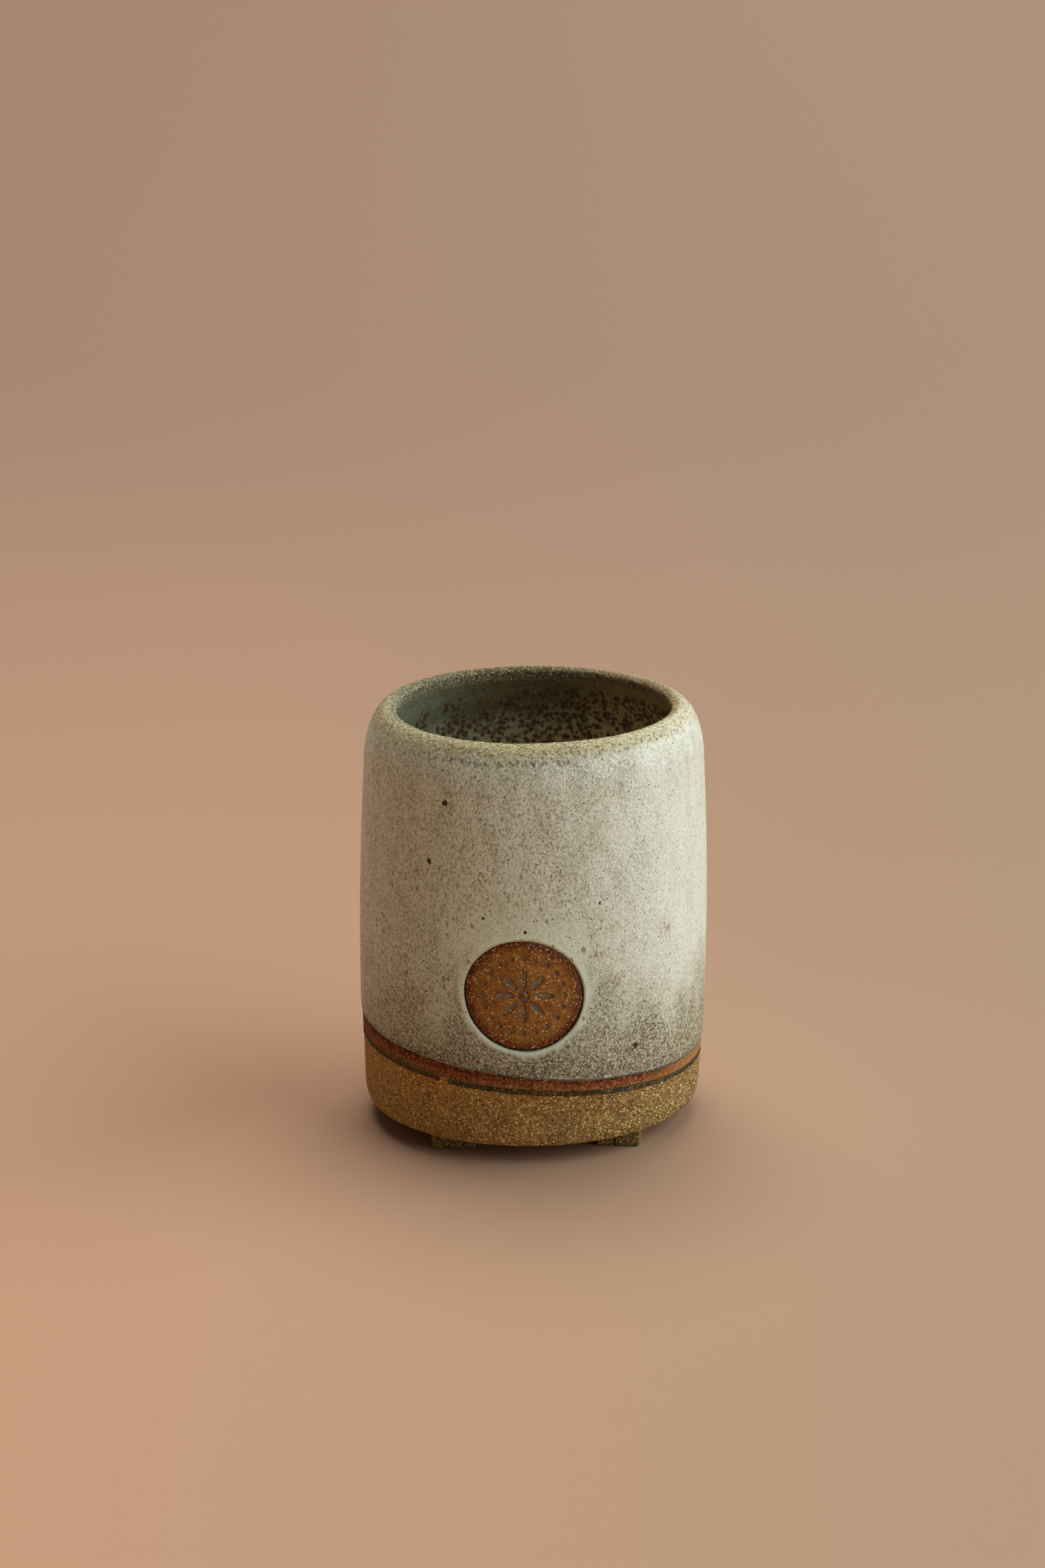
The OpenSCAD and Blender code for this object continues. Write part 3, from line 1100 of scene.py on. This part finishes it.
crease = fade(reckon("ABSOLUTE", plus(plus(up, middle), -89.1)), 0.9, 0.1)
crease = times(crease, fade(small, 0.42, 0.6))
crease = times(crease, fade(reckon("ABSOLUTE", plus(mark("turn"), 11)), 36, 20))
colour = lay(lip_zone, 0.8, colour, lip_gold)
colour = lay(crease, 0.8, colour, shoulder_violet)
inward = fade(mark("inward"), -0.6, 0.9)
colour = tint(inward, colour, pooled(spot))
edge = fade(mark("inward"), 1.65, 1.1)
inner_zone = fade(plus(up, times(small, 2)), 89.4, 91.6)
rim_zone = reckon("MAXIMUM", times(lip_zone, edge), inner_zone)
colour = lip_grains(spot, colour, rim_zone)
behind = times(fade(backward, -6, 20), rim_zone)
colour = lay(behind, 0.42, colour, lip_shade)

smooth_halo = fade(plus(halo, times(middle, 2.2)), 4.0, 1.5)
above_seal = times(fade(halo, 8, 2), fade(up, 42, 50))
smooth_halo = reckon("MAXIMUM", smooth_halo, times(above_seal, 0.6))
colour = lay(smooth_halo, 0.88, colour, celadon)
thin_edge = fade(halo, 0.55, 0.1)
colour = lay(thin_edge, 0.55, colour, burnt_olive)
right_side = fade(mark("turn"), -20, 12)
edge_line = times(fade(rise, 1.0, 0.3), plus(times(right_side, 0.3), 0.1))
colour = tint(edge_line, colour, teal_edge)

crowd = times(fade(across, -24, 6), fade(across, 33, 18))
crowd = times(crowd, fade(up, 36, 66))
crowd = times(crowd, fade(cloud(spot, 7), 0.34, 0.6))
crowd = plus(times(crowd, 0.7), 0.06)
crowd = plus(crowd, times(crease, 0.5))
pin = grain(spot, 0.66, crowd, 0.22)
colour = lay(pin, 0.92, colour, hole_brown)
specked = times(fade(across, 14, -8), fade(up, 66, 50))
specked = times(specked, fade(cloud(spot, 5), 0.35, 0.6))
iron_speck = grain(uneven, 1.3, times(specked, 0.45), 0.34)
colour = lay(iron_speck, 0.7, colour, burnt_cloud)
freckle = grain(uneven, 2.6, 0.12, 0.14)
colour = lay(freckle, 0.6, colour, stain_brown)
around = times(mark("turn"), math.radians(belly_radius / MM))
unrolled = add_step("ShaderNodeCombineXYZ", {0: around, 1: up}).outputs[0]
wobbly = unsteady(unrolled, 1.2, 1.0)
stained = times(strewn(wobbly, stains, 0.1), fade(small, 0.35, 0.7))
colour = lay(stained, 0.85, colour, stain_brown)
marked = strewn(wobbly, marks, 0.6)
colour = tint(marked, colour, hole_brown)
calm = reckon("SUBTRACT", 1.0, smooth_halo)
relief = plus(cloud(spot, 0.45, 3.0), cloud(spot, 1.0))
relief = times(relief, calm)
relief = reckon("SUBTRACT", relief, pin)
satin = reckon("MAXIMUM", fade(small, -0.7, 2.2), times(rim_zone, 0.95))
close_finish(colour, satin, relief, 0.15 * MM, 0.4)
dress(glaze, "outer_glaze")

# The same glaze was swilled round the inside and poured out. It pooled grey green below the
# lip, and lower down the iron of the clay burnt through it in dark blotches. Deep down, and
# higher up towards +X, its ground is painted a pale warm brown as painted light where the
# inside lies in shade.
liner_thickness = 0.28 * MM
liner_dive = 0.22 * MM
liner_columns = 400
liner_pitch = 0.75 * MM
ring_depth = 0.12 * MM
ring_pitch = 7.5 * MM
spiral_depth = 0.15 * MM
spiral_pitch = 5.5 * MM

liner_clay = [throat(fall) for fall in steps(0.92, 0, 0.04)]
liner_clay += [(wall_radius(height) - wall, height)
               for height in steps(neck_height - 0.7 * MM, floor_height + corner, liner_pitch)]
liner_clay += [inner_corner(turn) for turn in steps(0.08, math.pi / 2, 0.08)]
floor_edge = liner_clay[-1][0]
liner_clay += [(radius, floor_height) for radius in steps(floor_edge - MM, 0, 0.9 * MM)]
liner_front = []
liner_depths = [(liner_thickness + liner_dive) * blend_in(height, pot_height - MM, pot_height - 8 * MM)
                - liner_dive for _, height in liner_clay]
for (radius, height), (face_radius, face_height) in zip(liner_clay, thicken(liner_clay, liner_depths)):
    ring = ring_depth * math.sin(2 * math.pi * height / ring_pitch) * blend_in(height, 84 * MM, 76 * MM)
    spiral = spiral_depth * math.cos(2 * math.pi * radius / spiral_pitch) * blend_in(height, 9 * MM, 6 * MM)
    liner_front.append((face_radius + ring * blend_in(height, 8 * MM, 16 * MM), face_height + spiral))
liner_front[-1] = (0, liner_front[-1][1])
liner_back = thicken(liner_clay, [-hide] * len(liner_clay))[::-1]
liner_back[0] = (0, liner_back[0][1])
liner_back = [liner_back[0]] + liner_back[6:-4:3] + [liner_back[-1]]
liner = turn_piece("poured_liner", liner_back + liner_front, liner_columns)


def liner_skin(place):
    height = place.z - ground
    return 1 if height > floor_height + hair else 0


roughen(liner, "CLOUDS", ripple_size, ripple_depth, liner_skin)
settle(liner)

liner_grey = srgb(174, 170, 132)
liner_brown = srgb(70, 50, 28)
liner_deep_painted_light = srgb(238, 206, 156)
finish = new_finish("poured_glaze")
spot = place_in_mm()
across, _, up = parts_of(spot)
small = cloud(spot, 0.75, 2.0)
fine = cloud(spot, 0.4, 2.0)
sideways = times(across, 0.16)
height = plus(up, times(cloud(spot, 6), 6))
height = reckon("SUBTRACT", height, sideways)
burn = fade(height, 94, 84)
# Painted light: deep down, and higher up towards +X, the ground is laid a pale warm brown where the inside
# lies in shade.
right_side = fade(across, -16, 20)
colour = tint(fade(height, 88, 78), pooled(spot), liner_grey)
colour = tint(fade(reckon("SUBTRACT", height, times(right_side, 10)), 80, 62), colour, liner_deep_painted_light)
colour = lay(fade(fine, 0.5, 0.7), 0.35, colour, liner_brown)
colour = lay(fade(small, 0.48, 0.3), 0.1, colour, ash_cream)
crowd = plus(times(cloud(spot, 3.6, 1.0), 1.5), times(burn, 0.4))
crowd = plus(crowd, times(right_side, 0.1))
sparse = fade(crowd, 1.2, 0.72)
cells = add_step("ShaderNodeTexVoronoi", {
    "Vector": unsteady(spot, 0.9, 0.8), "Scale": 1 / 1.05, "Smoothness": 0.7},
    feature="SMOOTH_F1").outputs["Distance"]
blotch = plus(cells, times(sparse, 0.45))
blotch = plus(blotch, times(small, 0.3))
colour = lay(fade(blotch, 0.92, 0.42), 0.97, colour, liner_brown)
close_finish(colour, fade(small, -0.7, 2.2), cloud(spot, 0.6, 3.0), 0.06 * MM, 0.5)
dress(liner, "liner_glaze")

# The pot stands on a wide tan floor, which is a little darker far behind it: that darkening,
# strongest at -X, is painted shade where the light falls off. Beside the pot at -X the floor is
# painted lighter and redder, as painted light in the shadow of the low lamp at the right. A
# broad soft light stands behind and above, one low at the right, and a weak one at the front left.
floor_tan = srgb(181, 150, 123)
floor_left_painted_light = srgb(197, 154, 122)
floor_far_painted_shade = srgb(173, 141, 117)
floor_far_left_painted_shade = srgb(165, 131, 109)
floor_width = 14
bpy.ops.object.select_all(action="DESELECT")
bpy.ops.mesh.primitive_plane_add(size=floor_width)
studio_floor = bpy.context.object
studio_floor.name = "studio_floor"
finish = new_finish("floor_paint")
spot = place_in_mm()
across, backward, _ = parts_of(spot)
# Painted light beside the pot at -X, and painted shade far behind it, most at -X.
colour = tint(fade(across, 140, -140), floor_tan, floor_left_painted_light)
distant_painted_shade = tint(fade(across, 300, -300), floor_far_painted_shade, floor_far_left_painted_shade)
colour = tint(fade(backward, -150, 900), colour, distant_painted_shade)
close_finish(colour, fade(cloud(spot, 2), -6, 1), cloud(spot, 1), 0.01 * MM)
studio_floor.data.materials.append(finish)

lamps = [
    ("back_light", 180, 65, 44, 2.0, (1, 0.97, 0.95)),
    ("side_light", 82, 24, 80, 3.1, (0.9, 0.97, 1)),
    ("front_light", -60, 50, 90, 0.15, (1, 0.95, 0.88))]
for name, turn, rise, softness, power, hue in lamps:
    bpy.ops.object.light_add(type="SUN")
    lamp = bpy.context.object
    lamp.name = name
    lamp.data.energy = power
    lamp.data.angle = math.radians(softness)
    lamp.data.color = hue
    turn = math.radians(turn)
    rise = math.radians(rise)
    aim = Vector((math.sin(turn) * math.cos(rise), -math.cos(turn) * math.cos(rise), math.sin(rise)))
    lamp.matrix_world = aim.to_track_quat("Z", "Y").to_matrix().to_4x4()

room_light = 0.02
room = bpy.data.worlds.new("room")
bpy.context.scene.world = room
room.use_nodes = True
room.node_tree.nodes["Background"].inputs[0].default_value = (1, 0.96, 0.92, 1)
room.node_tree.nodes["Background"].inputs[1].default_value = room_light

bpy.context.scene.view_settings.view_transform = "Standard"
